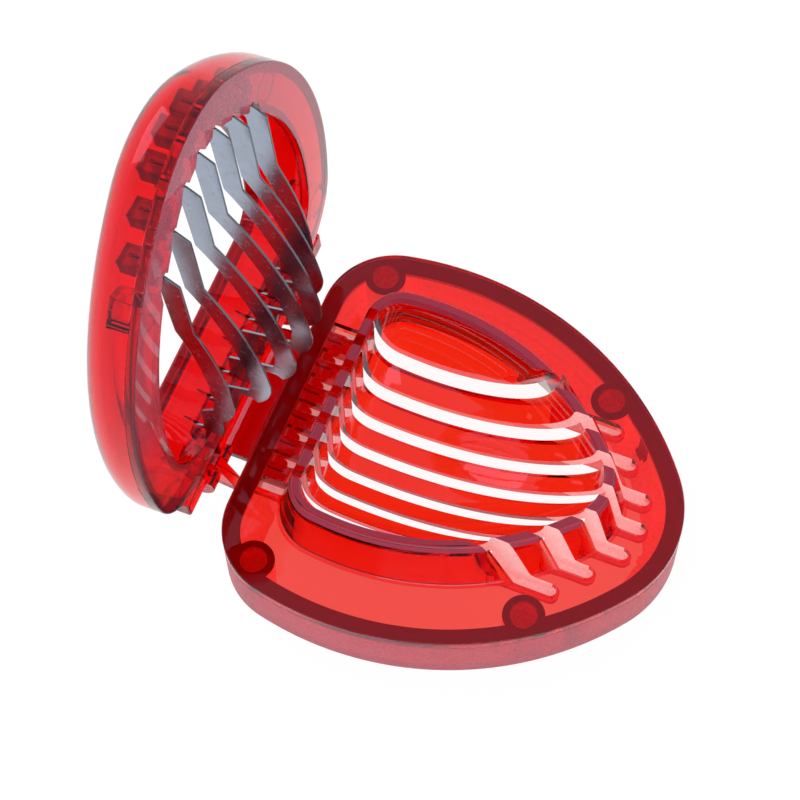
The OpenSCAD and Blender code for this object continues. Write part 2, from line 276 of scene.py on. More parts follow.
class Sizes:
    """Every size of the slicer in millimetres, and what is worked out from them."""

    def __init__(self, scene):
        self.base = millimetres(scene.slicer_base)
        self.cradle = millimetres(scene.slicer_cradle)
        self.lid = millimetres(scene.slicer_lid)
        self.blades = millimetres(scene.slicer_blades)
        self.blade_count = scene.slicer_blades.count
        self.row_share = scene.slicer_blades.row_share
        b, inset = self.base, self.cradle["inset"]
        self.outline = Drop(TIP_Y, b["tip_radius"], b["half_width"], b["side_radius"], BACK_Y,
                            b["corner_radius"])
        # the collar follows an outline of its own, blunter at the hinge
        self.collar = Drop(TIP_Y - inset, b["tip_radius"] - COLLAR_TIP_LESS,
                           b["half_width"] - inset, b["side_radius"] - COLLAR_SIDE_LESS,
                           BACK_Y - inset + COLLAR_BACK_OUT,
                           b["corner_radius"] - COLLAR_CORNER_LESS)
        # the opening in the casing's floor
        width = b["floor_width"]
        self.opening = Drop(TIP_Y - width, b["tip_radius"] - width, b["half_width"] - width,
                            b["side_radius"] - width, BACK_Y - width, b["corner_radius"] - width)
        self.window_low = self.cradle["flare"] + self.lid["window_room"]
        self.shell_z = LID_GAP + self.lid["plate"]
        self.tubes = [(side * x, y) for side in (-1, 1) for x, y in TUBE_SPOTS]

    def blade_xs(self):
        reach = self.row_share * (self.base["half_width"] - self.cradle["inset"])
        return list(np.linspace(-reach, reach, self.blade_count))

    def blade_tip(self, x):
        return self.outline.top_y(x, TIP_INSET)

    def blade_low(self, x):
        """Height of the lowest point of the blade at x."""
        hollow = self.base["half_width"] - self.cradle["inset"] - self.cradle["shell"]
        radius = hollow + CURVE_OUT
        return self.cradle["height"] - CURVE_DOWN - math.sqrt(radius**2 - x * x)


# ------------------------------------------------------------------ meshes


def in_base(points):
    """Drawing coordinates to the row frame, in metres."""
    return (np.asarray(points, float) + np.array(DRAWING_ORIGIN)) * MM


def in_lid(points):
    """The same for the lid, which is turned back about the hinge."""
    axis = np.array([0, HINGE_Y, HINGE_Z])
    turn = np.array(Matrix.Rotation(OPEN_ANGLE, 3, "X"))
    return in_base((np.asarray(points, float) - axis) @ turn.T + axis)


def mesh_of(vertices, faces, name="part"):
    mesh = bpy.data.meshes.new(name)
    mesh.from_pydata([tuple(v) for v in vertices], [], faces)
    bm = bmesh.new()
    bm.from_mesh(mesh)
    bmesh.ops.remove_doubles(bm, verts=bm.verts, dist=1e-5)
    bmesh.ops.recalc_face_normals(bm, faces=bm.faces)
    bm.to_mesh(mesh)
    bm.free()
    return mesh


def bands(rings, closed=False):
    """The four-sided faces between rings of equal length that lie in one list of vertices."""
    count = len(rings[0])
    pairs = list(zip(range(len(rings)), range(1, len(rings))))
    if closed:
        pairs.append((len(rings) - 1, 0))
    return [
        (a * count + k, a * count + (k + 1) % count, b * count + (k + 1) % count, b * count + k)
        for a, b in pairs
        for k in range(count)
    ]


def loft(rings, closed=False):
    """A skin over rings of equal length: closed into a tube, or capped at its two ends."""
    count = len(rings[0])
    vertices = np.concatenate(rings)
    faces = bands(rings, closed)
    if not closed:
        faces += [tuple(range(count))[::-1], tuple(range(len(vertices) - count, len(vertices)))]
    return mesh_of(vertices, faces)


def prism(outline, low, high, axis="z"):
    """An outline pushed along an axis. For axis x the outline's points are (y, z)."""
    flat = np.asarray(outline, float)

    def at(level):
        third = np.full(len(flat), level)
        if axis == "z":
            return np.column_stack([flat, third])
        return np.column_stack([third, flat])

    return loft([at(low), at(high)])


def disc(x, y, radius, steps=40):
    turn = np.arange(steps) * 2 * math.pi / steps
    return np.column_stack([x + radius * np.cos(turn), y + radius * np.sin(turn)])


def rectangle(across, along):
    """The corners of a rectangle, from its two ends each way."""
    (x1, x2), (y1, y2) = across, along
    return [(x1, y1), (x2, y1), (x2, y2), (x1, y2)]


def rounded(points, radius, steps=5):
    """An outline with each of its corners rounded. A point may give its own radius last."""
    flat = [np.array(p[:2], float) for p in points]
    radii = [p[2] if len(p) > 2 else radius for p in points]
    out = []
    for k, corner in enumerate(flat):
        before, after = flat[k - 1] - corner, flat[(k + 1) % len(flat)] - corner
        reach = min(np.linalg.norm(before), np.linalg.norm(after)) * 0.48
        before, after = before / np.linalg.norm(before), after / np.linalg.norm(after)
        angle = math.acos(max(-1, min(1, float(before @ after))))
        if radii[k] <= 0 or angle > math.radians(176):
            out.append(corner)
            continue
        cut = min(radii[k] / math.tan(angle / 2), reach)
        start, end = corner + before * cut, corner + after * cut
        for step in range(steps + 1):
            t = step / steps
            out.append((1 - t) ** 2 * start + 2 * t * (1 - t) * corner + t * t * end)
    return np.array(out)


def slot_plan(x, width, y1, y2, steps=10):
    """A slot seen from above, with a square end at y1 and a round one at y2."""
    half = width / 2
    turn = np.linspace(0, math.pi, steps)
    end = np.column_stack([x + half * np.cos(turn), y2 - half + half * np.sin(turn)])
    return np.concatenate([[[x - half, y1], [x + half, y1]], end])


def combined(mesh, operation, others):
    """The mesh joined with the others, or with the others cut out of it."""
    target = bpy.data.objects.new("target", mesh)
    bpy.context.scene.collection.objects.link(target)
    group = bpy.data.collections.new("tools")
    bpy.context.scene.collection.children.link(group)
    tools = [bpy.data.objects.new("tool", other) for other in others]
    for tool in tools:
        group.objects.link(tool)
    modifier = target.modifiers.new("combine", "BOOLEAN")
    modifier.operation = operation
    modifier.operand_type = "COLLECTION"
    modifier.collection = group
    modifier.solver = "EXACT"
    bpy.context.view_layer.update()
    graph = bpy.context.evaluated_depsgraph_get()
    result = bpy.data.meshes.new_from_object(target.evaluated_get(graph))
    for thing in [target] + tools:
        bpy.data.objects.remove(thing)
    bpy.data.collections.remove(group)
    return result


# Edges that turn by more than this stay sharp, and are bevelled on the pieces that ask for it
SHARP_ANGLE = math.radians(32)
BEVEL_ANGLE = math.radians(35)


def add_piece(name, mesh, place, body, material, replaced=(), bevel=0):
    """Puts a drawn mesh in its place, gives it its finish and lets it ride on its body.
    Bevel is the width, in millimetres, by which its edges are taken off."""
    co = np.zeros(len(mesh.vertices) * 3)
    mesh.vertices.foreach_get("co", co)
    mesh.vertices.foreach_set("co", place(co.reshape(-1, 3)).ravel())
    mesh.name = name
    mesh.materials.clear()
    mesh.materials.append(material)
    mesh.polygons.foreach_set("use_smooth", [True] * len(mesh.polygons))
    mesh.set_sharp_from_angle(angle=SHARP_ANGLE)
    piece = bpy.data.objects.new(name, mesh)
    bpy.context.scene.collection.objects.link(piece)
    if bevel:
        edge = piece.modifiers.new("edges", "BEVEL")
        edge.width = bevel * MM
        edge.segments = 2
        edge.limit_method = "ANGLE"
        edge.angle_limit = BEVEL_ANGLE
        edge.harden_normals = True
    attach(piece, body)
    if replaced:
        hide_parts(*replaced)
    return piece


# ------------------------------------------------------------------ shader tools


class Wire:
    """A shader socket that can stand in a Python expression."""

    def __init__(self, shader, socket):
        self.shader, self.socket = shader, socket

    def _maths(self, operation, first, second):
        values = {0: first, 1: second}
        return self.shader.node("ShaderNodeMath", {"operation": operation}, values)["Value"]

    def __add__(self, other):
        return self._maths("ADD", self, other)

    def __radd__(self, other):
        return self._maths("ADD", other, self)

    def __sub__(self, other):
        return self._maths("SUBTRACT", self, other)

    def __rsub__(self, other):
        return self._maths("SUBTRACT", other, self)

    def __mul__(self, other):
        return self._maths("MULTIPLY", self, other)

    def __rmul__(self, other):
        return self._maths("MULTIPLY", other, self)


class Node:
    """A shader node whose outputs are read by name."""

    def __init__(self, shader, node):
        self.shader, self.node = shader, node

    def __getitem__(self, name):
        return Wire(self.shader, find_socket(self.node.outputs, name))


def find_socket(sockets, key):
    """A socket by number, identifier or name. Mix nodes repeat names, but not identifiers."""
    if isinstance(key, int):
        return sockets[key]
    for socket in sockets:
        if socket.identifier == key:
            return socket
    return sockets[key]


class Shader:
    """Builds the nodes of a material or world."""

    def __init__(self, owner):
        owner.use_nodes = True
        self.tree = owner.node_tree
        self.tree.nodes.clear()

    def node(self, kind, settings=None, values=None):
        """Adds a node of any type, sets its settings, then its sockets."""
        node = self.tree.nodes.new(kind)
        for name, value in (settings or {}).items():
            if name == "stops":
                self._stops(node.color_ramp, value)
            else:
                setattr(node, name, value)
        for key, value in (values or {}).items():
            socket = find_socket(node.inputs, key)
            if isinstance(value, Wire):
                self.tree.links.new(value.socket, socket)
            elif isinstance(value, (tuple, list)) and len(value) == 3 and socket.type == "RGBA":
                socket.default_value = (*value, 1)
            else:
                socket.default_value = value
        return Node(self, node)

    @staticmethod
    def _stops(ramp, stops):
        while len(ramp.elements) < len(stops):
            ramp.elements.new(1)
        for element, (position, tone) in zip(ramp.elements, stops):
            element.position = position
            element.color = (tone, tone, tone, 1) if isinstance(tone, (int, float)) else (*tone, 1)

    def mixed(self, factor, first, second, blend="MIX"):
        """Two colours mixed."""
        return self.node(
            "ShaderNodeMix",
            {"data_type": "RGBA", "blend_type": blend},
            {"Factor_Float": factor, "A_Color": first, "B_Color": second},
        )["Result_Color"]

    def surface(self, values):
        """The general shader, which is plastic or metal by its values."""
        return self.node("ShaderNodeBsdfPrincipled", None, values)["BSDF"]

    def place(self):
        return self.node("ShaderNodeTexCoord")["Object"]

    def part(self, vector, axis):
        """One number of a vector: X, Y or Z."""
        return self.node("ShaderNodeSeparateXYZ", None, {0: vector})[axis]

    def soft_edges(self, radius):
        """The surface's direction with its edges rounded by a radius in millimetres."""
        return self.node("ShaderNodeBevel", {"samples": 4}, {"Radius": radius * MM})["Normal"]

    def zone(self, name):
        """A number kept on each face of the mesh."""
        return self.node("ShaderNodeAttribute", {"attribute_name": name})["Fac"]

    def layered(self, share, below, above):
        """One shader over another, where the share is above 0."""
        return self.node("ShaderNodeMixShader", None, {0: share, 1: below, 2: above})["Shader"]

    def noise(self, scale, detail=2, roughness=0.5, vector=None):
        """Cloudy mottling from 0 to 1. The scale counts its patches along one metre."""
        values = {"Scale": scale, "Detail": detail, "Roughness": roughness}
        values["Vector"] = vector or self.place()
        return self.node("ShaderNodeTexNoise", None, values)["Fac"]

    def ramp(self, value, stops):
        """A value taken through stops of (position, tone)."""
        return self.node("ShaderNodeValToRGB", {"stops": stops}, {"Fac": value})["Color"]

    def stretched(self, scale):
        """Object coordinates scaled by a vector, for grain that runs one way."""
        return self.node(
            "ShaderNodeVectorMath", {"operation": "MULTIPLY"}, {0: self.place(), 1: scale}
        )["Vector"]

    def bump(self, height, distance, strength, normal=None):
        """Relief of a fine texture, of a depth in metres, over the surface's direction."""
        values = {"Height": height, "Distance": distance, "Strength": strength}
        if normal:
            values["Normal"] = normal
        return self.node("ShaderNodeBump", None, values)["Normal"]


# ------------------------------------------------------------------ materials


SHEEN_TINT = (1.0, 0.6, 0.85)
PLASTIC_IOR = 1.49


def red_body(s, finish, surface, deep=1.0):
    """Gives a plastic its depth of colour, and lets lamps shine through it.
    Deep multiplies how strongly it colours the light."""
    light_path = s.node("ShaderNodeLightPath")
    open_to_light = s.node("ShaderNodeBsdfTransparent", None, {"Color": (0.92, 0.92, 0.92)})["BSDF"]
    shader = s.node(
        "ShaderNodeMixShader", None, {0: light_path["Is Shadow Ray"], 1: surface, 2: open_to_light}
    )["Shader"]
    volume = s.node(
        "ShaderNodeVolumeAbsorption",
        None,
        {"Color": tuple(finish.plastic), "Density": finish.depth * deep},
    )["Volume"]
    s.node("ShaderNodeOutputMaterial", None, {"Surface": shader, "Volume": volume})


def dark_edge_and_sheen(s, seam):
    """The dark skin where thick plastic is seen end on. Its tone is partly painted light: painted
    shade and painted reflection on the collar's edge, and painted reflection in the seam's blue.
    """
    seam = tuple(seam)
    tone = s.mixed(s.noise(160, 2), seam, tuple(0.8 * c for c in seam))
    blur = 0.3 + s.noise(500, 2) * 0.15
    return s.surface({"Base Color": tone, "Roughness": blur, "IOR": PLASTIC_IOR})


def dotted(s, tone, milk, painted_glow):
    """A matt skin, finely dotted, that scatters the light.
    Milk is the share of light that it scatters. The glow is painted light: an emission that
    stands in for the light that comes through the wall behind it."""
    dots = s.node("ShaderNodeTexVoronoi", {"feature": "F1"},
                  {"Vector": s.place(), "Scale": 1300, "Randomness": 0.8})["Distance"]
    grain = s.noise(700, 3, 0.65)
    cloud = s.noise(90, 2)
    shade = s.mixed(1.0, tone, (0.55, 0.5, 0.5), "MULTIPLY")
    return s.surface({
        "Base Color": s.mixed(dots * 0.9 + cloud * 0.3 - 0.1, tone, shade),
        "Roughness": 0.34 + grain * 0.2,
        "IOR": PLASTIC_IOR,
        "Specular Tint": SHEEN_TINT,
        "Transmission Weight": 1 - milk,
        # painted glow: an emission in place of the light that comes through the wall
        "Emission Color": painted_glow,
        "Emission Strength": 1.0,
        "Normal": s.bump(dots * 0.7 + grain * 0.5, 0.12 * MM, 0.6),
    })


def clear_plastic(name, finish, deep=1.0, skin=None, matt=0.0, sheen_heights=None):
    """Clear red plastic: it refracts, and colours the light by how far it passes through.
    The skin tone is that of a dotted layer on the faces that are marked for it: a matt skin with a
    painted glow on the tray's channels, and a painted sheen on the lid. Two heights in metres, when
    given, set where that painted sheen sets in, and it grows stronger upwards. Matt is how much the
    surface blurs."""
    material = bpy.data.materials.new(name)
    s = Shader(material)
    dust = s.ramp(s.noise(1400, 2), [(0.62, 0.0), (0.7, 1.0)])
    handled = s.noise(140, 3, 0.6)
    edges = s.soft_edges(0.25)
    tint = s.mixed(handled, (1, 1, 1), (1, 0.93, 0.93))
    if skin:
        tint = s.mixed(s.zone("shell"), tint, tuple(finish.shell))
    body = s.surface({
        "Base Color": tint,
        "Roughness": 0.015 + matt + handled * 0.03 + dust * 0.05,
        "IOR": PLASTIC_IOR,
        "Specular Tint": SHEEN_TINT,
        "Transmission Weight": 1.0,
        "Normal": s.bump(s.noise(60, 1), 0.12 * MM, 0.35, edges),
    })
    if skin:
        # marked faces get the dotted layer: a matt skin on the tray's channels and painted sheen on
        # the lid, each with a painted glow
        share = s.zone("skin")
        # painted sheen, stronger higher up
        if sheen_heights:
            low, high = sheen_heights
            climb = (s.part(s.place(), "Z") - low) * (1 / (high - low))
            share = share * s.ramp(climb, [(0.0, 0.12), (1.0, 1.0)])
        body = s.layered(share, body, dotted(s, skin, 0.9, tuple(0.28 * c for c in skin)))
        # the collar's edge and the band below it: painted shade and painted reflection
        body = s.layered(s.zone("rim"), body, dark_edge_and_sheen(s, finish.rim))
    red_body(s, finish, body, deep)
    return material


def frosted_plastic(name, finish, milk, tone):
    """The same plastic with a finely dotted, milky surface that scatters the light.
    Milk is the share of light that it scatters, and tone is the colour of that light.
    The top of the wall, which shows dark through the tray, is marked as rim and gets the seam's
    tone. The faces that look into the casing are marked as inner, and get painted light: a paler
    tone and a painted glow, for the light that comes in through the walls."""
    material = bpy.data.materials.new(name)
    s = Shader(material)
    # painted light: inside the casing the tone is paler and glows
    outside = s.mixed(s.zone("inner"), tone, (1.0, 0.62, 0.6))
    painted_glow = s.mixed(s.zone("inner"), (0.0, 0.0, 0.0), (0.42, 0.24, 0.22))
    # the wall's top gets the seam's tone, partly painted reflection
    body = s.layered(s.zone("rim"), dotted(s, outside, milk, painted_glow), dark_edge_and_sheen(s, finish.seam))
    red_body(s, finish, body, 0.35)
    return material


def brushed_steel(name, finish):
    """Stamped steel with a fine grain along the blade, and handling marks."""
    material = bpy.data.materials.new(name)
    s = Shader(material)
    grain = s.noise(1, 3, 0.7, s.stretched((900, 9000, 260)))
    cloud = s.noise(170, 3, 0.6)
    marks = s.ramp(s.noise(520, 4, 0.75), [(0.52, 0.0), (0.66, 1.0)])
    steel = tuple(finish.steel)
    dull = tuple(0.74 * c for c in steel)
    # a blade's broad sides face along x, and its cut edges don't. The cut edges are painted dark,
    # at 0.3 of the steel: painted reflection of the dark surroundings
    facing = s.part(s.node("ShaderNodeTexCoord")["Normal"], "X")
    flat = s.ramp(facing * facing, [(0.3, 0.0), (0.7, 1.0)])
    face = s.mixed(cloud * 0.9 + grain * 0.4 - 0.2, steel, dull)
    tone = s.mixed(flat, tuple(0.3 * c for c in steel), face)
    metal = s.surface({
        "Base Color": tone,
        "Metallic": 1.0,
        "Roughness": 0.12 + grain * 0.14 + marks * 0.1,
        "Normal": s.bump(grain, 0.01 * MM, 0.5, s.soft_edges(0.08)),
    })
    s.node("ShaderNodeOutputMaterial", None, {"Surface": metal})
    return material


def floor_cover():
    """White floor that shows the object's soft shadow on an even white ground."""
    material = bpy.data.materials.new("studio_floor")
    s = Shader(material)
    path = s.node("ShaderNodeLightPath")
    seen = path["Is Camera Ray"] + path["Is Glossy Ray"] + path["Is Transmission Ray"]
    paper = s.noise(30, 2)
    pale = s.mixed(paper, (0.8, 0.8, 0.8), (0.78, 0.78, 0.78))
    matt = s.node("ShaderNodeBsdfDiffuse", None, {"Color": pale})["BSDF"]
    faint = s.node("ShaderNodeBsdfDiffuse", None, {"Color": (0.1, 0.1, 0.1)})["BSDF"]
    white = s.node("ShaderNodeEmission", None, {"Color": (1, 1, 1), "Strength": 0.93})["Emission"]
    glowing = s.node("ShaderNodeAddShader", None, {0: faint, 1: white})["Shader"]
    surface = s.node("ShaderNodeMixShader", None, {0: seen, 1: matt, 2: glowing})["Shader"]
    s.node("ShaderNodeOutputMaterial", None, {"Surface": surface})
    return material


# ------------------------------------------------------------------ pieces of the base


class SlicerOperator(bpy.types.Operator):
    """What the builders share"""

    bl_options = {"REGISTER", "UNDO"}

    def execute(self, context):
        self.build(context.scene, Sizes(context.scene), context.scene.slicer_finish)
        return {"FINISHED"}


def arc_steps(radius, steps=5):
    """Pairs (in, up) along a quarter circle, from upright to level."""
    turns = [k * math.pi / 2 / steps for k in range(steps + 1)]
    return [(radius * (1 - math.cos(t)), radius * math.sin(t)) for t in turns]


CHANNEL_WALL = 0.6

# The flange at the top of the casing's wall: how far it stands in, and its depth at its edge
# and at the wall
FLANGE = 1.4
FLANGE_EDGE, FLANGE_ROOT = 1.2, 2.6
# A post's length below the plate, and the depth of its bore, which is wider by the play
POST_LENGTH = 1.3
BORE_DEPTH = 1.6
POST_PLAY = 0.1


def casing_mesh(z):
    """The frosted lower case: wall, flange, narrow floor, and a tube at each assembly point."""
    b, line = z.base, z.outline
    low, high = -BASE_HEIGHT, -b["plate"] - 0.06
    floor = low + b["floor"]
    soft, top_cut, floor_cut, fillet = 0.7, 0.25, 0.3, 0.8
    wall, flange = b["wall"], b["wall"] + FLANGE
    rings = [line.ring(flange, high), line.ring(top_cut, high), line.ring(0, high - top_cut)]
    rings += [line.ring(0, low + soft)]
    rings += [line.ring(i, low + soft - d) for i, d in arc_steps(soft)[1:]]
    rings += [z.opening.ring(-floor_cut, low), z.opening.ring(0, low + floor_cut)]
    rings += [z.opening.ring(0, floor - floor_cut), z.opening.ring(-floor_cut, floor)]
    rings += [line.ring(wall + fillet, floor), line.ring(wall, floor + fillet)]
    rings += [line.ring(wall, high - FLANGE_ROOT), line.ring(flange, high - FLANGE_EDGE)]
    case = loft(rings, closed=True)
    tubes = [prism(disc(x, y, b["tube_radius"]), floor - 0.2, high) for x, y in z.tubes]
    case = combined(case, "UNION", tubes)
    radius = b["post_radius"] + POST_PLAY
    bores = [prism(disc(x, y, radius), high - BORE_DEPTH, high + 1) for x, y in z.tubes]
    return combined(case, "DIFFERENCE", bores)


def bowl(z, inset, rise, lip=0):
    """The cradle's round shape, turned about a line at the height of the collar's top.
    Rise carries it on above the collar, wider by the lip."""
    top = z.cradle["height"]
    flat = z.collar.points(inset)
    rings = []
    if rise:
        rings += [z.collar.ring(inset - lip, top + rise), z.collar.ring(inset - lip, top)]
    steps = 26
    for k in range(1 if lip else 0, steps + 1):
        turn = math.pi / 2 * k / steps
        x = flat[:, 0] * math.cos(turn)
        rings.append(np.column_stack([x, flat[:, 1], top - np.abs(flat[:, 0]) * math.sin(turn)]))
    return mesh_of(np.concatenate(rings), bands(rings) + [tuple(range(len(flat)))])


# Height of the band under the collar's top edge that gets the edge's painted shade and
# reflection, which also covers the dark line of shade along the edge's outside
RIM_BAND = 1.8


def collar_block(z, inset, foot=0.0, soft=0.0):
    """The collar's sloping outside. Foot and soft round its foot and its top."""
    c = z.cradle
    slope = c["flare"] / c["height"]
    levels = [(-z.base["plate"], foot), (0, foot)]
    if foot:
        levels += [(foot - foot * math.cos(t), foot - foot * math.sin(t))
                   for t in (k * math.pi / 8 for k in range(1, 5))]
    rings = [z.collar.ring(inset - out - slope * (c["height"] - level), level)
             for level, out in levels]
    if soft:
        rings += [z.collar.ring(inset - slope * RIM_BAND, c["height"] - RIM_BAND)]
        rings += [z.collar.ring(inset + i, c["height"] - soft + d) for i, d in arc_steps(soft, 4)]
    else:
        rings += [z.collar.ring(inset, c["height"])]
    return loft(rings)


# The channels beside the hinge, along y: their walls' two ends, where the slots in them start,
# where their floors step back up, and where the slots go on down through the cradle
HINGE_CHANNEL = (-25.3, -16.4)
HINGE_SLOT = -24.2
STEP_END = -20.9
BOWL_SLOT = -16.9
# The floors step down by this much, but only to the left of this x. The step is painted shade:
# it keeps these floors out of the channels' pale skin, so they stay dark where the lid's shade
# falls
STEP = 0.1
STEP_RIGHT = 15
# What is joined to the plate from below starts this far under its top
SUNK = 0.4


def tray_mesh(z):
    """The tray: its plate, the collar, the slotted cradle, the blades' channels and the posts."""
    b, c = z.base, z.cradle
    soft = 0.35
    edge = [z.outline.ring(0.2, -b["plate"]), z.outline.ring(0, 0.2 - b["plate"])]
    edge += [z.outline.ring(i, d - soft) for i, d in arc_steps(soft)]
    tray = combined(loft(edge), "UNION", [collar_block(z, 0, 0.8, 0.5)])
    tray = combined(tray, "DIFFERENCE", [collar_block(z, c["shell"])])
    wide, wall, outer = c["slot"], CHANNEL_WALL, c["slot"] + 2 * CHANNEL_WALL
    deep = -c["slot_floor"]
    under, top = deep - wall, c["height"] - SUNK
    troughs, slots = [], []
    for x in z.blade_xs():
        foot = z.outline.top_y(x, c["inset"] - c["flare"])
        rim = z.collar.top_y(x, 0)
        tip = z.blade_tip(x) + CHANNEL_END
        troughs.append(prism(slot_plan(x, outer, foot - 0.6, tip + wall), under, -SUNK))
        troughs.append(prism(slot_plan(x, outer, *HINGE_CHANNEL), under, -SUNK))
        # the slab that lines the slot where it climbs over the collar
        side = [(rim - 1.5, under), (foot - 0.4, under), (foot - 0.4, -SUNK), (rim - 1.2, top),
                (rim - 1.5, top)]
        troughs.append(prism(side, x - outer / 2, x + outer / 2, "x"))
        slots.append(prism(slot_plan(x, wide, HINGE_SLOT, tip), deep, c["height"] + 1))
        # painted shade: the stepped floors stay out of the pale skin
        if x < STEP_RIGHT:
            slots.append(prism(slot_plan(x, wide, HINGE_SLOT, STEP_END), deep - STEP, 0))
        slots.append(prism(slot_plan(x, wide, BOWL_SLOT, rim + 1.5), -BASE_HEIGHT, 1))
    tray = combined(tray, "UNION", [bowl(z, 0.7, 0)] + troughs)
    tray = combined(tray, "DIFFERENCE", [bowl(z, c["shell"], 2, 0.35)])
    tray = combined(tray, "DIFFERENCE", slots)
    bottom = -b["plate"] - POST_LENGTH
    posts = [prism(disc(x, y, b["post_radius"]), bottom, -SUNK) for x, y in z.tubes]
    return combined(tray, "UNION", posts)


def marked(mesh, **tests):
    """Marks the faces that have another finish than the rest of their piece. Each test gives,
    from a face's centre and normal, the share of the finish that it is named for."""
    for name, test in tests.items():
        marks = [float(test(face.center, face.normal)) for face in mesh.polygons]
        mesh.attributes.new(name, "FLOAT", "FACE").data.foreach_set("value", marks)
    return mesh


def in_shell(z, centre, normal):
    """Whether a face belongs to the collar or the cradle, and not to the plate or its edge."""
    if not z.collar.holds(centre.x, centre.y, -z.cradle["flare"] - 1):
        return False
    below_channels = -z.cradle["slot_floor"] - CHANNEL_WALL - 0.1
    return centre.z > 0.02 or centre.z < below_channels or centre.z < -0.02 and abs(normal.z) < 0.98


def in_rim(z, centre, normal):
    """Whether a face lies on the collar's top edge, or on the band just below it. These get the
    edge's painted shade and reflection.
    """
    top = z.cradle["height"]
    if centre.z < top - RIM_BAND or z.collar.holds(centre.x, centre.y, z.cradle["shell"] - 0.1):
        return False
    return normal.z > 0.35 or normal.z > 0.05 and centre.z < top - 0.5


def in_channel(z, centre, normal):
    """Whether a face of the tray is the floor or the wall of a blade's channel. These get the pale
    skin and its painted glow; floors that step down are left out, as painted shade.
    """
    if normal.z > 0.99 and abs(centre.z + z.cradle["slot_floor"]) < 0.02:
        return True
    if abs(normal.x) < 0.99 or not -z.cradle["slot_floor"] < centre.z < z.cradle["height"] - 0.3:
        return False
    for x in z.blade_xs():
        if abs(abs(centre.x - x) - z.cradle["slot"] / 2) < 0.02:
            return centre.y > z.collar.top_y(x, 0) - 5
    return False


class SLICER_OT_base(SlicerOperator):
    """Build the frosted casing and the clear tray with its cradle"""

    bl_idname = "slicer.build_base"
    bl_label = "Base"

    def build(self, scene, z, finish):
        frosted = frosted_plastic("casing_plastic_frosted", finish, 0.6, (0.58, 0.075, 0.12))
        # the channels' pale matt skin, which also carries a painted glow
        clear = clear_plastic("tray_plastic_clear", finish, skin=(1.0, 0.56, 0.55))
        top = -z.base["plate"] - 0.5

        def inner(at, normal):
            """Where the painted light goes: 1 inside the casing, a little of that in the bores'
            mouths, and 0 outside.
            """
            if at.z > top or normal.z < -0.5 or not z.outline.holds(at.x, at.y, 1):
                return 0
            return 1 if at.z < top - 2 else 0.3

        casing = marked(
            casing_mesh(z), rim=lambda at, normal: normal.z > 0.8 and at.z > top, inner=inner
        )
        tray = marked(
            tray_mesh(z),
            skin=lambda at, normal: in_channel(z, at, normal),
            shell=lambda at, normal: in_shell(z, at, normal),
            rim=lambda at, normal: in_rim(z, at, normal),
        )
        add_piece("casing", casing, in_base, BASE, frosted, ["base_casing"])
        add_piece("tray", tray, in_base, BASE, clear, ["base_tray"])


def ear_mesh(outer, bore, half):
    """An upright lug drawn as (y, z) points, bored for the pin, between -half and half."""
    lug = prism(outer, -half, half, "x")
    hole = prism(disc(HINGE_Y, HINGE_Z, bore), -half - 1, half + 1, "x")
    return combined(lug, "DIFFERENCE", [hole])


def shifted(mesh, x):
    mesh.transform(Matrix.Translation((x, 0, 0)))
    return mesh


EAR_X = 22
EAR_HALF = 1.4
EAR_RADIUS = 5.0
LUG_THICKNESS = 3.4
LUG_RADIUS = 4.6
SIDE_PLAY = 0.35
PIN_RADIUS = 1.6
PIN_CUT = 0.3
PIN_STEPS = 32
WEB_HALF = 16.3

# The lid's bar beside the hinge: its two sides, its ends, its foot and its top
BAR_Y = (-34, -28.9)
BAR_END = 35.5
BAR_Z = (0.35, 7.4)

# The block inside the base, under the strip beside the hinge, is painted shade: a dark piece
# that darkens the plate above it where the lid's shade falls. Its x, y and z
BLOCK_X = (-21.5, 16.9)
BLOCK_Y = (-26.15, -17.4)
BLOCK_Z = (-7.8, -5.1)


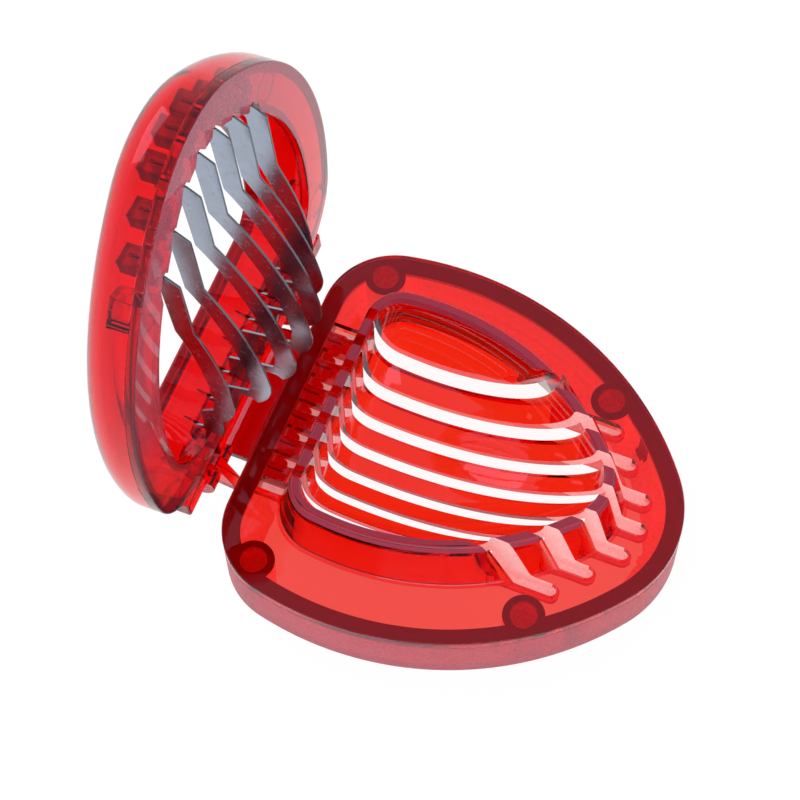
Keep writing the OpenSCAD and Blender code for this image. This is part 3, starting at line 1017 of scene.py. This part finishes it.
class SLICER_OT_hinge(SlicerOperator):
    """Build the hinge: the base's ears, lip and block, the lid's lugs and bar, and the pins"""

    bl_idname = "slicer.build_hinge"
    bl_label = "Hinge"

    def build(self, scene, z, finish):
        clear = clear_plastic("hinge_plastic_clear", finish)
        steel = brushed_steel("pin_steel", finish)
        for side, word in ((-1, "left"), (1, "right")):
            ear = ear_mesh(self.ear_outline(), PIN_RADIUS + 0.05, EAR_HALF)
            add_piece(f"hinge_ear_{word}", shifted(ear, side * EAR_X), in_base, BASE, clear,
                      bevel=0.25)
            for end, place in (("inner", -1), ("outer", 1)):
                offset = EAR_HALF + SIDE_PLAY + LUG_THICKNESS / 2
                lug = ear_mesh(self.lug_outline(), PIN_RADIUS + 0.02, LUG_THICKNESS / 2)
                add_piece(f"hinge_lug_{word}_{end}", shifted(lug, side * (EAR_X + place * offset)),
                          in_lid, LID, clear, bevel=0.25)
            long = EAR_HALF + SIDE_PLAY + LUG_THICKNESS - 0.3
            circle = disc(HINGE_Y, HINGE_Z, PIN_RADIUS, PIN_STEPS)
            small = disc(HINGE_Y, HINGE_Z, PIN_RADIUS - PIN_CUT, PIN_STEPS)
            turned = ((-long, small), (PIN_CUT - long, circle), (long - PIN_CUT, circle),
                      (long, small))
            rings = [np.column_stack([np.full(PIN_STEPS, x), line]) for x, line in turned]
            add_piece(f"pin_{word}", shifted(loft(rings), side * EAR_X), in_lid, LID, steel,
                      [f"hinge_pin_{word}"])
        web = prism(self.web_outline(), -WEB_HALF, WEB_HALF, "x")
        # Painted shade: the lip's plastic colours light twelve times as deeply, for the shade in
        # the gap below the lid's bar
        deep = clear_plastic("hinge_plastic_deep", finish, deep=12)
        add_piece("hinge_web", web, in_base, BASE, deep, bevel=0.3)
        # painted shade: a dark block under the hinge-side strip
        dark = clear_plastic("hinge_block_deep", finish, deep=7.5)
        block = prism(rounded(rectangle(BLOCK_X, BLOCK_Y), 1.5), *BLOCK_Z)
        add_piece("hinge_block", block, in_base, BASE, dark, bevel=0.3)
        # the bar leaves room for the ears
        free = EAR_HALF + SIDE_PLAY
        spans = [(-BAR_END, -EAR_X - free), (free - EAR_X, EAR_X - free), (EAR_X + free, BAR_END)]
        for word, span in zip(("left", "middle", "right"), spans):
            bar = prism(rectangle(span, BAR_Y), *BAR_Z)
            add_piece(f"hinge_bar_{word}", bar, in_lid, LID, clear, bevel=0.5)

    @staticmethod
    def round_end(radius, start, end, steps=14):
        """Points about the pin's centre, from one turn in degrees to another."""
        turns = [math.radians(start + (end - start) * k / steps) for k in range(steps + 1)]
        return [(HINGE_Y + radius * math.cos(t), HINGE_Z + radius * math.sin(t)) for t in turns]

    def web_outline(self):
        """The lip on the base's back edge that closes the gap below the lid's bar."""
        top = [(0.02, -0.1), (3.4, -0.1), (5.6, -0.5), (7.2, -1.4)]
        low = [(7.6, -2.8), (6.4, -2.5), (3.8, -2.3), (0.02, -2.3)]
        return [(-BACK_Y - out, z) for out, z in top + low]

    def ear_outline(self):
        """A root on the base's back edge, and a round end about the pin."""
        root = [(-BACK_Y - 0.02, -2.3), (-BACK_Y - 0.02, -0.1)]
        return root + self.round_end(EAR_RADIUS, 45, 285)

    def lug_outline(self):
        """A root on the lid's bar, and a round end about the pin."""
        side = BAR_Y[0] - 0.02
        root = [(side, 2.4), (side, 7.3)]
        return root + self.round_end(LUG_RADIUS, 90, 290)


# ------------------------------------------------------------------ pieces of the lid


# The slots for the blades' tails beside the hinge, along y: in the lid's shell, and in its plate
TAIL_SLOT = (-22.7, -20.2)
TAIL_SLOT_IN_PLATE = (-22.7, -15)
# How high the slots for the blades' far ends and for their tails reach
TIP_SLOT_TOP = 6.3
TAIL_SLOT_TOP = 7.2
# A forked block starts this far beyond its blade's tip, and ends this far beyond it
CLAMP_SPAN = (1.2, 5.2)


def lid_plate_mesh(z):
    """The flat frame that closes the lid's shell, with a notch at each blade's tip."""
    low, high = LID_GAP, z.shell_z - 0.03
    inner = -z.window_low
    soft = 0.3
    rings = [z.outline.ring(i, low + soft - d) for i, d in arc_steps(soft)]
    rings += [z.collar.ring(inner - 0.2, low), z.collar.ring(inner, low + 0.2)]
    rings += [z.collar.ring(inner, high), z.outline.ring(0, high)]
    plate = loft(rings[::-1], closed=True)
    cuts = []
    for x in z.blade_xs():
        tip = z.blade_tip(x)
        notch = [(x - 2.9, tip - 9), (x + 2.9, tip - 9), (x + 2.3, tip - 2.2), (x + 0.6, tip + 0.4),
                 (x - 0.6, tip + 0.4), (x - 2.3, tip - 2.2)]
        cuts.append(prism(notch, -1, 6))
        cuts.append(prism(slot_plan(x, z.blades["thickness"] + 0.25, *TAIL_SLOT_IN_PLATE), -1, 6))
    return combined(plate, "DIFFERENCE", cuts)


def lid_shell_mesh(z):
    """The domed shell: one closed skin over the rounded edge, the top and the window's wall."""
    lid, line, ring = z.lid, z.outline, z.collar.ring
    top, low, thick = lid["height"], z.shell_z, lid["shell"]
    round_edge, centre = lid["round_edge"], lid["height"] - lid["round_edge"]
    wall, soft, steps = 1.8, 0.6, 12
    rings = [line.ring(0.15, low), line.ring(0, low + 0.15), line.ring(0, centre * 0.7 + low * 0.3)]
    rings += [line.ring(i, centre + d) for i, d in arc_steps(round_edge, steps)]
    window = [low + (top - low) * k / 6 for k in range(5)]

    def window_inset(height):
        part = (height - low) / (top - low)
        return -z.window_low + (z.window_low - WINDOW_HIGH) * part

    rings += [ring(window_inset(top) - soft * 1.4, top)]
    rings += [ring(window_inset(top) - soft * (1 - math.sin(t)), top - soft * (1 - math.cos(t)))
              for t in (math.radians(a) for a in (30, 60, 90))]
    rings += [ring(window_inset(height), height) for height in window[::-1]]
    inner_top = top - thick
    rings += [ring(window_inset(low) - wall, low), ring(window_inset(inner_top) - wall, inner_top)]
    inner = [(thick + i, centre + d) for i, d in arc_steps(round_edge - thick, steps)]
    rings += [line.ring(i, level) for i, level in inner[::-1]]
    rings += [line.ring(thick, low)]
    shell = loft(rings, closed=True)
    tubes = [prism(disc(x, y, 4.2), low, low + 5.2) for x, y in z.tubes]
    shell = combined(shell, "UNION", tubes)
    bore = z.base["post_radius"] + POST_PLAY
    cuts = [prism(disc(x, y, bore), low - 1, low + 4.4) for x, y in z.tubes]
    room = z.blades["thickness"] / 2 + 0.12
    for x in z.blade_xs():
        tip = z.blade_tip(x)
        for along, reach in (((tip - 8, tip + 5.1), TIP_SLOT_TOP), (TAIL_SLOT, TAIL_SLOT_TOP)):
            cuts.append(prism(rectangle(along, (low - 1, reach)), x - room, x + room, "x"))
    return combined(shell, "DIFFERENCE", cuts)


def clamp_mesh(z, x):
    """A forked block that holds one blade's end down on the lid's plate."""
    tip, half, slit = z.blade_tip(x), 2.3, z.blades["thickness"] / 2 + 0.1
    low, high, floor = z.shell_z + 0.05, 8.0, 6.22
    fork = [(x - half, low), (x - slit, low), (x - slit, floor), (x + slit, floor), (x + slit, low),
            (x + half, low), (x + half, high), (x - half, high)]
    block = prism(fork, tip + CLAMP_SPAN[0], tip + CLAMP_SPAN[1])
    # the fork is drawn as (x, z), and the block is turned so that it lies along y
    block.transform(Matrix(((1, 0, 0, 0), (0, 0, 1, 0), (0, 1, 0, 0), (0, 0, 0, 1))))
    block.flip_normals()
    return block


class SLICER_OT_lid(SlicerOperator):
    """Build the lid: its plate, its domed shell, and the blocks that clamp the blades"""

    bl_idname = "slicer.build_lid"
    bl_label = "Lid"

    def build(self, scene, z, finish):
        # Painted sheen: a mauve dotted layer on the plate's front face, for the lamps' sheen, which
        # grows stronger between these two heights in metres
        clear = clear_plastic("lid_plastic_clear", finish, skin=(0.5, 0.15, 0.22),
                              sheen_heights=(0.045, 0.105))

        def window_wall(at, normal):
            return z.collar.holds(at.x, at.y, -z.window_low - 0.1) and abs(normal.z) < 0.6

        # painted sheen at half strength on the plate's front face
        frame_mesh = marked(lid_plate_mesh(z), skin=lambda at, normal: 0.5 * (normal.z < -0.9))
        dome_mesh = marked(lid_shell_mesh(z), shell=window_wall)
        add_piece("lid_frame", frame_mesh, in_lid, LID, clear, ["lid_plate"])
        add_piece("lid_dome", dome_mesh, in_lid, LID, clear, ["lid_shell"])
        # Painted shade: the clamps get a darker, blurred copy of the plastic, for the shade inside
        # the dome
        deep = clear_plastic("clamp_plastic_deep", finish, deep=5, matt=0.3)
        for number, x in enumerate(z.blade_xs(), 1):
            add_piece(f"clamp_block_{number}", clamp_mesh(z, x), in_lid, LID, deep,
                      ["lid_clamp"], bevel=0.2)


# ------------------------------------------------------------------ blades


# Radii of a blade's two long curves, and of the short one at its foot
CURVE_RADIUS = 84
FOOT_RADIUS = 13


def curve_between(start, end, radius, steps):
    """Points from start to end on a circle that bulges downwards between them."""
    p, q = np.array(start, float), np.array(end, float)
    half = (q - p) / 2
    rise = math.sqrt(radius**2 - half @ half)
    way = 1 if p[0] < q[0] else -1
    centre = (p + q) / 2 + way * rise * np.array([-half[1], half[0]]) / np.linalg.norm(half)
    ys = np.linspace(p[0], q[0], steps)
    return [(y, centre[1] - math.sqrt(radius**2 - (y - centre[0]) ** 2), 0) for y in ys]


def blade_outline(z, x):
    """A blade seen from its side, as (y, z): held end, level strip, kink, curve, foot and tail.
    A third number is the radius of that corner."""
    tip, low = z.blade_tip(x), z.blade_low(x)
    kink, foot = tip - 20, -5.5
    high, heel = low + z.blades["height"], low + 4
    under, over = -2.6, 2.1
    tail, tail_top = -22.6, 5.0
    held_low, held_top = z.shell_z + 0.12, 6.2
    steps = 14
    points = [(tip + 5, held_top, 0.3), (tip + 5, held_low, 0.3), (tip, held_low, 0)]
    points += [(tip, 0.2, 0.5), (tip - 2.4, under, 0.8)]
    points += curve_between((kink, under), (foot, low), CURVE_RADIUS, steps)
    points += curve_between((foot - 1, low), (foot - 9.5, heel), FOOT_RADIUS, 7)
    if heel < under - 3:
        points += [(foot - 8.2, heel + 1.2, 0.5), (foot - 8.2, under - 1.6, 0.6)]
        points += [(foot - 9.5, under - 1, 0.6)]
    points += [(tail + 1, under, 0.7), (tail, under + 2, 0.7), (tail, tail_top, 0.3)]
    points += [(tail + 1.4, tail_top, 0.3), (tail + 2, over, 0.6), (foot - 7.5, over - 0.6, 0.6)]
    points += [(foot - 5, min(high, under + 1) + 0.8, 0.6)]
    points += curve_between((foot, high), (kink - 1.5, over - 0.4), CURVE_RADIUS, steps)
    points += [(tip - 4.4, over, 0.8), (tip - 3, held_top, 0.3)]
    return rounded(points, 0.5, 4)


class SLICER_OT_blades(SlicerOperator):
    """Build the row of curved steel blades"""

    bl_idname = "slicer.build_blades"
    bl_label = "Blades"

    def build(self, scene, z, finish):
        steel = brushed_steel("blade_steel", finish)
        half = z.blades["thickness"] / 2
        for number, x in enumerate(z.blade_xs(), 1):
            blade = prism(blade_outline(z, x), x - half, x + half, "x")
            add_piece(f"blade_{number}_steel", blade, in_lid, LID, steel,
                      [f"blade_{number}"], bevel=0.07)


# ------------------------------------------------------------------ studio


# The floor's half width, and how far it lies below the base, in metres
FLOOR_HALF = 3.0
FLOOR_DROP = 0.0002

# The camera's angles in degrees, and its distance and focal length in millimetres
CAMERA_AZIMUTH = 113.73
CAMERA_ELEVATION = 65.406
CAMERA_ROLL = -1.582
CAMERA_DISTANCE = 519.956
FOCAL_LENGTH = 107.254
SHIFT = (0.0015, 0.0506)


def add_camera(scene):
    """The camera, which looks at the drawing's origin and rolls a little."""
    data = bpy.data.cameras.new("camera")
    data.lens = FOCAL_LENGTH
    data.sensor_width = 36
    data.shift_x, data.shift_y = SHIFT
    data.clip_start, data.clip_end = 0.01, 20
    a, e = math.radians(CAMERA_AZIMUTH), math.radians(CAMERA_ELEVATION)
    away = Vector((math.sin(a) * math.cos(e), -math.cos(a) * math.cos(e), math.sin(e)))
    camera = bpy.data.objects.new("camera", data)
    camera.location = (DRAWING_ORIGIN + away * CAMERA_DISTANCE) * MM
    facing = (-away).to_track_quat("-Z", "Y")
    roll = Matrix.Rotation(math.radians(CAMERA_ROLL), 4, "Z")
    camera.matrix_world = Matrix.Translation(camera.location) @ facing.to_matrix().to_4x4() @ roll
    scene.collection.objects.link(camera)
    scene.camera = camera


def add_lamp(scene, name, place, size, watts):
    """A soft lamp that is aimed at the slicer. Its place and size are in metres."""
    data = bpy.data.lights.new(name, "AREA")
    data.shape = "RECTANGLE"
    data.size, data.size_y = size
    data.energy = watts
    lamp = bpy.data.objects.new(name, data)
    lamp.location = place
    aim = Vector((0, 0, 0.03)) - Vector(place)
    lamp.rotation_euler = aim.to_track_quat("-Z", "Y").to_euler()
    scene.collection.objects.link(lamp)


def add_world(scene):
    """A white room for what is seen, dimmer overhead for what lights the object."""
    world = bpy.data.worlds.new("studio")
    scene.world = world
    s = Shader(world)
    path = s.node("ShaderNodeLightPath")
    up = s.part(s.node("ShaderNodeTexCoord")["Generated"], "Z")
    room = s.ramp(up, [(0.0, 1.0), (0.35, 0.95), (0.75, 0.65), (1.0, 0.6)])
    light = s.mixed(path["Is Camera Ray"], room, (1, 1, 1))
    white = s.node("ShaderNodeBackground", None, {"Color": light, "Strength": 1.0})["Background"]
    s.node("ShaderNodeOutputWorld", None, {"Surface": white})


class SLICER_OT_stage(SlicerOperator):
    """Set up the pale floor, the soft lamps and the camera"""

    bl_idname = "slicer.build_stage"
    bl_label = "Stage"

    def build(self, scene, z, finish):
        side = (-FLOOR_HALF, FLOOR_HALF)
        corners = [(x, y, 0) for x, y in rectangle(side, side)]
        floor = bpy.data.objects.new("floor", mesh_of(corners, [(0, 1, 2, 3)], "floor"))
        floor.data.materials.append(floor_cover())
        floor.location.z = -FLOOR_DROP
        scene.collection.objects.link(floor)
        add_lamp(scene, "key", (-0.25, -0.9, 0.8), (0.9, 0.6), 3.5)
        add_lamp(scene, "fill", (0.8, 0.3, 0.4), (0.6, 0.6), 2.6)
        add_world(scene)
        add_camera(scene)
        scene.view_settings.view_transform = "Standard"


# ------------------------------------------------------------------ add-on


class SLICER_PT_panel(bpy.types.Panel):
    """Lists the slicer's builders and its settings"""

    bl_idname = "SLICER_PT_panel"
    bl_label = "Hinged Slicer"
    bl_space_type = "VIEW_3D"
    bl_region_type = "UI"
    bl_category = "Slicer"

    def draw(self, context):
        for operator in OPERATORS:
            self.layout.operator(operator.bl_idname)
        for name in GROUPS:
            group = getattr(context.scene, name)
            box = self.layout.box()
            for prop in group.bl_rna.properties:
                if prop.identifier not in ("rna_type", "name"):
                    box.prop(group, prop.identifier)


OPERATORS = (SLICER_OT_stage, SLICER_OT_base, SLICER_OT_lid, SLICER_OT_hinge, SLICER_OT_blades)
GROUPS = {
    "slicer_base": SLICER_PG_base,
    "slicer_cradle": SLICER_PG_cradle,
    "slicer_blades": SLICER_PG_blades,
    "slicer_lid": SLICER_PG_lid,
    "slicer_finish": SLICER_PG_finish,
}


def register():
    for name, group in GROUPS.items():
        bpy.utils.register_class(group)
        setattr(bpy.types.Scene, name, bpy.props.PointerProperty(type=group))
    for cls in OPERATORS + (SLICER_PT_panel,):
        bpy.utils.register_class(cls)


def unregister():
    for cls in (SLICER_PT_panel,) + OPERATORS[::-1]:
        bpy.utils.unregister_class(cls)
    for name, group in GROUPS.items():
        delattr(bpy.types.Scene, name)
        bpy.utils.unregister_class(group)


def main():
    register()
    bpy.ops.slicer.build_stage()
    bpy.ops.slicer.build_base()
    bpy.ops.slicer.build_lid()
    bpy.ops.slicer.build_hinge()
    bpy.ops.slicer.build_blades()


if __name__ == "__main__":
    main()
